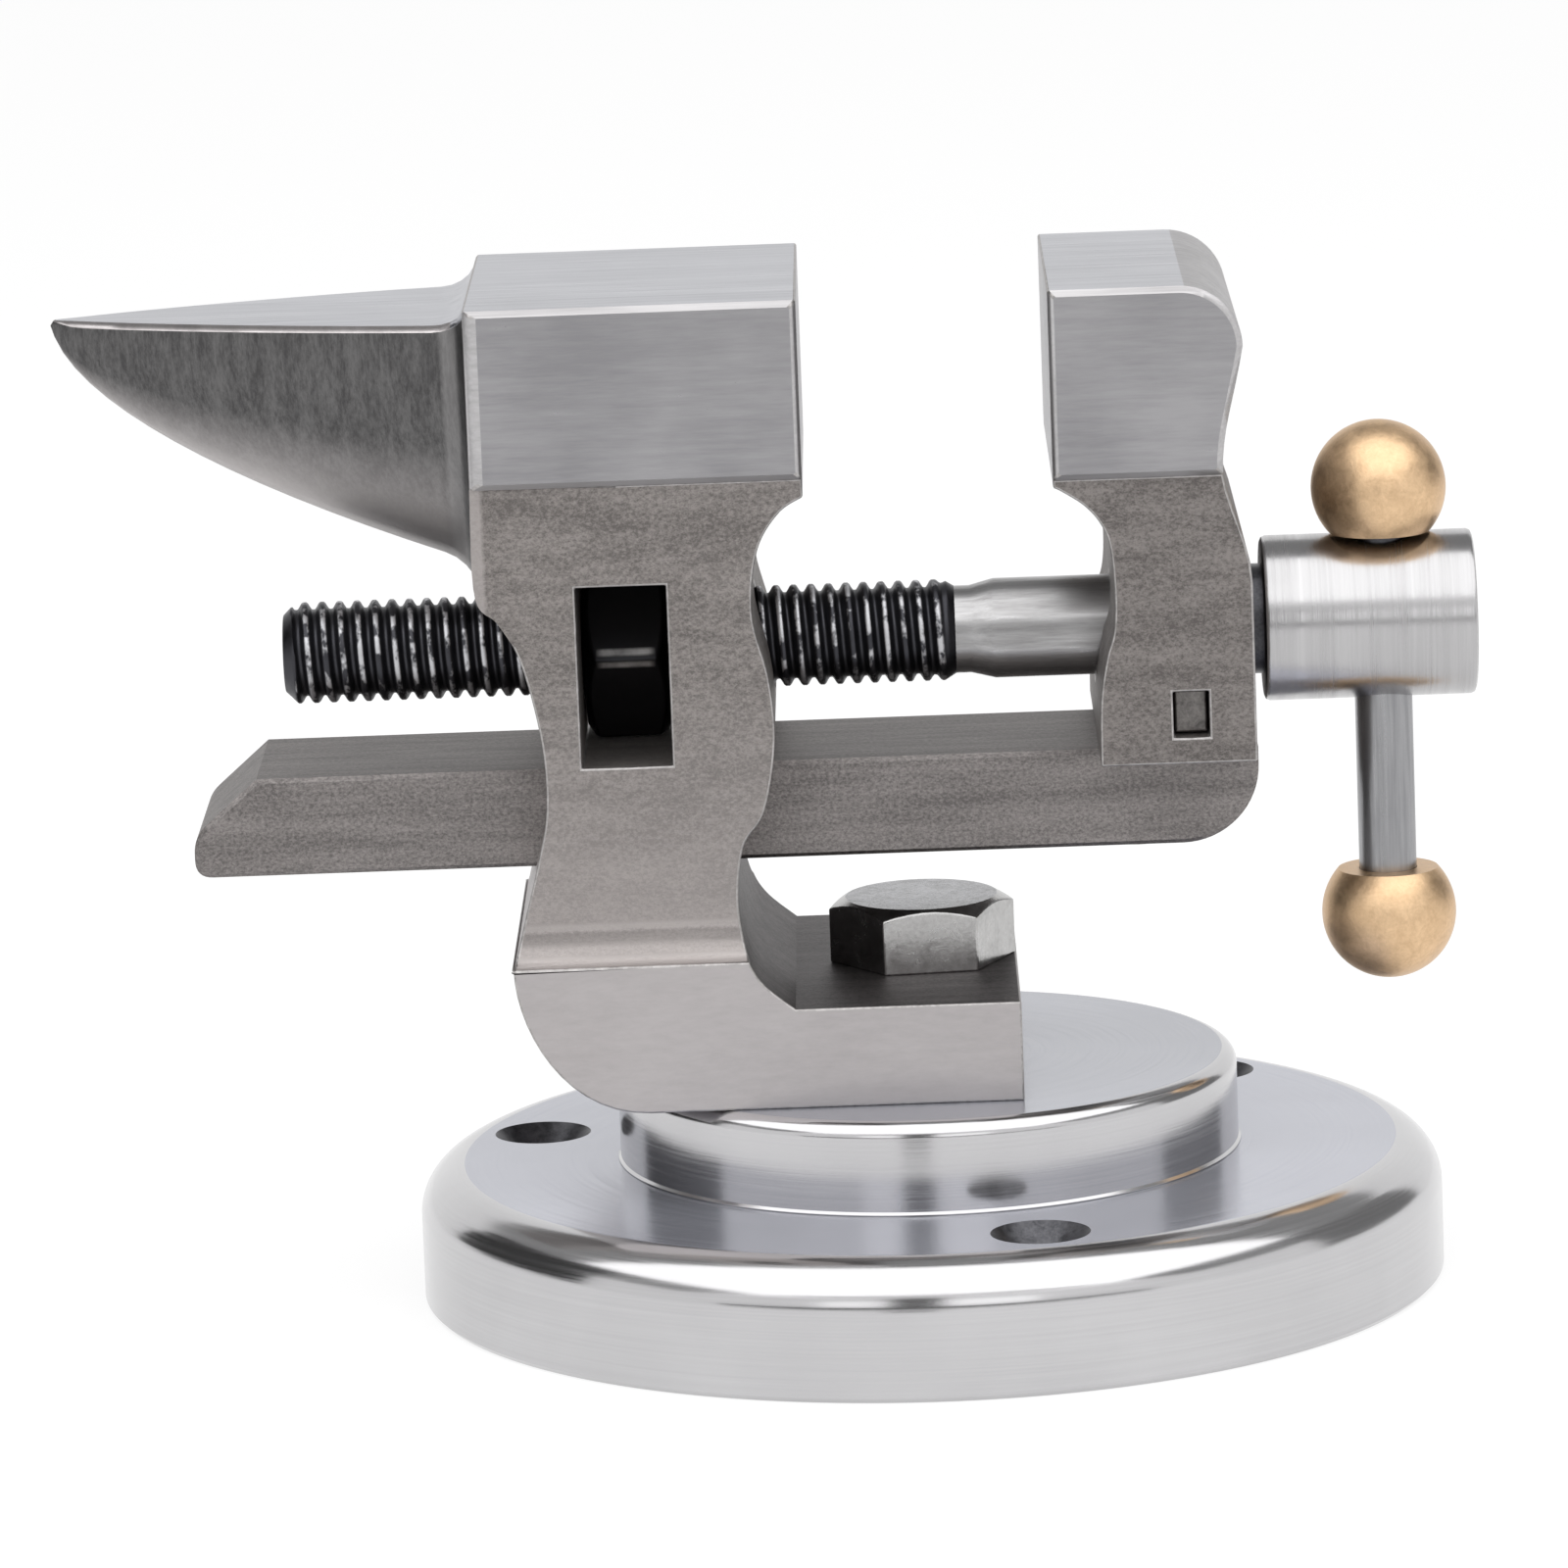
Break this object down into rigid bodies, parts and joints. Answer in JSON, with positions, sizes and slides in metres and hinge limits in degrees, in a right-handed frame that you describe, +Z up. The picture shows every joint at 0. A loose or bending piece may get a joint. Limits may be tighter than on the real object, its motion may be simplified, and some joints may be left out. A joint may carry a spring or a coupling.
{
  "type": "mini bench vise",
  "caption": "Small steel bench vise with an anvil horn, screw-driven sliding jaw, sliding brass-ended handle and a round swivel base.",
  "frame": {"origin": "centre of the base plate's underside, on the swivel axis", "axes": "+Z up, +X from the horn towards the handle along the lead screw, Y across the jaws"},
  "size_m": [0.0805, 0.059, 0.0589],
  "materials": {
    "polished_steel": "turned and polished bright steel",
    "bolt_steel": "bright plated steel",
    "body_steel": "satin steel, finely ground on the jaws and grained on the column",
    "turned_steel": "fine turned steel with cut threads",
    "dark_steel": "blackened steel",
    "brass": "satin brass"
  },
  "bodies": {
    "base": {"base_plate": "polished_steel"},
    "bolt": {"pivot_bolt": "bolt_steel"},
    "swivel": {"turntable_disc": "polished_steel", "vise_body": "body_steel", "lead_nut": "dark_steel"},
    "jaw": {"slide_bar": "body_steel", "moving_jaw": "body_steel", "bar_screw_1": "dark_steel", "bar_screw_2": "dark_steel", "screw_retaining_key": "body_steel"},
    "screw": {"lead_screw": "turned_steel"},
    "handle": {"handle_rod": "turned_steel", "handle_ball_upper": "brass", "handle_ball_lower": "brass"}
  },
  "joints": [
    {"name": "swivel_turn", "type": "hinge", "parent": "base", "child": "swivel", "pos_m": [0, 0, 0.0131], "axis": [0, 0, 1], "continuous": true},
    {"name": "bolt_turn", "type": "hinge", "parent": "base", "child": "bolt", "pos_m": [0, 0, 0.0188], "axis": [0, 0, 1], "range_deg": [0, 180]},
    {"name": "jaw_slide", "type": "slide", "parent": "swivel", "child": "jaw", "axis": [1, 0, 0], "range_m": [-0.0139, 0.0151]},
    {"name": "screw_turn", "type": "hinge", "parent": "jaw", "child": "screw", "pos_m": [0.02, 0, 0.0379], "axis": [1, 0, 0], "range_deg": [-5010, 5440]},
    {"name": "handle_slide", "type": "slide", "parent": "screw", "child": "handle", "axis": [0, 0, 1], "range_m": [0, 0.0099]}
  ],
  "couplings": [
    {"joint": "screw_turn", "follows": "jaw_slide", "rad_per_m": 6283.2}
  ]
}
